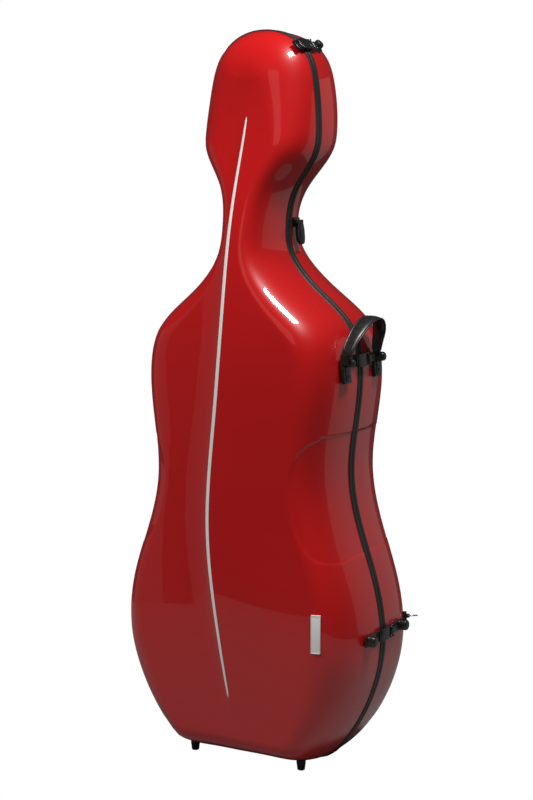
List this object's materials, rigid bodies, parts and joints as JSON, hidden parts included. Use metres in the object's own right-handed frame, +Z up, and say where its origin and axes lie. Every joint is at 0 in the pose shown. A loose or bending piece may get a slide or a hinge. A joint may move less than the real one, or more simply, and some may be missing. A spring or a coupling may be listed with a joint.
{
  "type": "cello case",
  "caption": "Hard-shell case for a full-size cello: two glossy curved shells hinged at the left edge, with edge latches, a leather side handle, strap rings and rubber feet.",
  "frame": {"origin": "on the floor under the middle of the case, between the four feet", "axes": "+Z up along the case, -Y towards the front of the lid, +X towards the latched edge"},
  "size_m": [0.5152, 0.3215, 1.3315],
  "materials": {
    "shell_gloss_red": "high gloss clear coat",
    "seal_rubber": "satin",
    "fitting_black": "satin to gloss",
    "foot_rubber": "matt",
    "silver_trim": "fine brushed",
    "steel_pins": "polished",
    "leather_black": "smooth grain, stitched",
    "lining_cloth": "soft nap"
  },
  "bodies": {
    "body": {"back_shell": "shell_gloss_red", "body_seal": "seal_rubber", "body_lining": "lining_cloth", "neck_cradle": "lining_cloth", "neck_strap": "leather_black", "waist_pad_left": "lining_cloth", "waist_pad_right": "lining_cloth", "hinge_body_leaf_lower": "fitting_black", "hinge_body_leaf_middle": "fitting_black", "hinge_body_leaf_upper": "fitting_black", "hinge_pin_lower": "steel_pins", "hinge_pin_middle": "steel_pins", "hinge_pin_upper": "steel_pins", "latch_base_head": "fitting_black", "latch_base_handle": "fitting_black", "latch_base_lower": "fitting_black", "latch_pin_head": "steel_pins", "latch_pin_handle": "steel_pins", "latch_pin_lower": "steel_pins", "foot_rear_left": "foot_rubber", "foot_rear_right": "foot_rubber", "handle_bracket_rear": "fitting_black", "neck_handle_bracket": "fitting_black", "neck_handle_pin": "steel_pins", "ring_saddle_left": "fitting_black", "ring_saddle_right": "fitting_black"},
    "lid": {"front_shell": "shell_gloss_red", "lid_seal": "seal_rubber", "lid_lining": "lining_cloth", "ridge_inlay": "silver_trim", "badge_plate": "silver_trim", "hinge_lid_leaf_lower": "fitting_black", "hinge_lid_leaf_middle": "fitting_black", "hinge_lid_leaf_upper": "fitting_black", "latch_keeper_head": "fitting_black", "latch_keeper_handle": "fitting_black", "latch_keeper_lower": "fitting_black", "foot_front_left": "foot_rubber", "foot_front_right": "foot_rubber", "handle_bracket_front": "fitting_black", "bow_tip_holder_left": "lining_cloth", "bow_tip_holder_right": "lining_cloth", "bow_frog_block_left": "lining_cloth", "bow_frog_block_right": "lining_cloth"},
    "side_handle": {"side_handle": "leather_black"},
    "neck_handle": {"neck_handle": "leather_black"},
    "lever_head": {"latch_lever_head": "fitting_black"},
    "link_head": {"latch_link_head": "fitting_black"},
    "lever_handle": {"latch_lever_handle": "fitting_black"},
    "link_handle": {"latch_link_handle": "fitting_black"},
    "lever_lower": {"latch_lever_lower": "fitting_black"},
    "link_lower": {"latch_link_lower": "fitting_black"},
    "ring_right": {"strap_ring_right": "steel_pins"},
    "ring_left": {"strap_ring_left": "steel_pins"},
    "clip_left": {"bow_clip_left": "fitting_black"},
    "clip_right": {"bow_clip_right": "fitting_black"}
  },
  "joints": [
    {"name": "lid_hinge", "type": "hinge", "parent": "body", "child": "lid", "pos_m": [-0.2469, 0.014, 0.275], "axis": [-0.1026, 0, -0.9947], "range_deg": [0, 110]},
    {"name": "lever_turn_head", "type": "hinge", "parent": "body", "child": "lever_head", "pos_m": [0.0803, 0.035, 1.30435], "axis": [0.6804, 0, -0.7328], "range_deg": [0, 100]},
    {"name": "link_turn_head", "type": "hinge", "parent": "lever_head", "child": "link_head", "pos_m": [0.0803, 0.0415, 1.30435], "axis": [-0.6804, 0, 0.7328], "range_deg": [0, 130]},
    {"name": "lever_turn_handle", "type": "hinge", "parent": "body", "child": "lever_handle", "pos_m": [0.19684, 0.035, 0.74966], "axis": [0.1026, 0, -0.9947], "range_deg": [0, 100]},
    {"name": "link_turn_handle", "type": "hinge", "parent": "lever_handle", "child": "link_handle", "pos_m": [0.19684, 0.0415, 0.74966], "axis": [-0.1026, 0, 0.9947], "range_deg": [0, 130]},
    {"name": "lever_turn_lower", "type": "hinge", "parent": "body", "child": "lever_lower", "pos_m": [0.24704, 0.035, 0.25623], "axis": [0.0366, 0, -0.9993], "range_deg": [0, 100]},
    {"name": "link_turn_lower", "type": "hinge", "parent": "lever_lower", "child": "link_lower", "pos_m": [0.24704, 0.0415, 0.25623], "axis": [-0.0366, 0, 0.9993], "range_deg": [0, 130]},
    {"name": "side_handle_swing", "type": "hinge", "parent": "body", "child": "side_handle", "pos_m": [0.20013, 0.014, 0.76256], "axis": [0, 1, 0], "range_deg": [0, 70]},
    {"name": "neck_handle_swing", "type": "hinge", "parent": "body", "child": "neck_handle", "pos_m": [0.05507, 0.0372, 0.99], "axis": [0, -1, 0], "range_deg": [0, 90]},
    {"name": "ring_swing_right", "type": "hinge", "parent": "body", "child": "ring_right", "pos_m": [0.2313, 0.13851, 0.258], "axis": [-0.601, 0.7561, -0.2588], "range_deg": [-60, 60]},
    {"name": "ring_swing_left", "type": "hinge", "parent": "body", "child": "ring_left", "pos_m": [-0.2313, 0.13851, 0.258], "axis": [-0.601, -0.7561, 0.2588], "range_deg": [-60, 60]},
    {"name": "bow_clip_turn_left", "type": "hinge", "parent": "lid", "child": "clip_left", "pos_m": [-0.0875, 0.014, 0.215], "axis": [0, 1, 0], "range_deg": [-90, 90]},
    {"name": "bow_clip_turn_right", "type": "hinge", "parent": "lid", "child": "clip_right", "pos_m": [0.0325, 0.014, 0.215], "axis": [0, 1, 0], "range_deg": [-90, 90]}
  ],
  "couplings": [
    {"joint": "link_turn_head", "follows": "lever_turn_head", "ratio": 1.2},
    {"joint": "link_turn_handle", "follows": "lever_turn_handle", "ratio": 1.2},
    {"joint": "link_turn_lower", "follows": "lever_turn_lower", "ratio": 1.2}
  ]
}
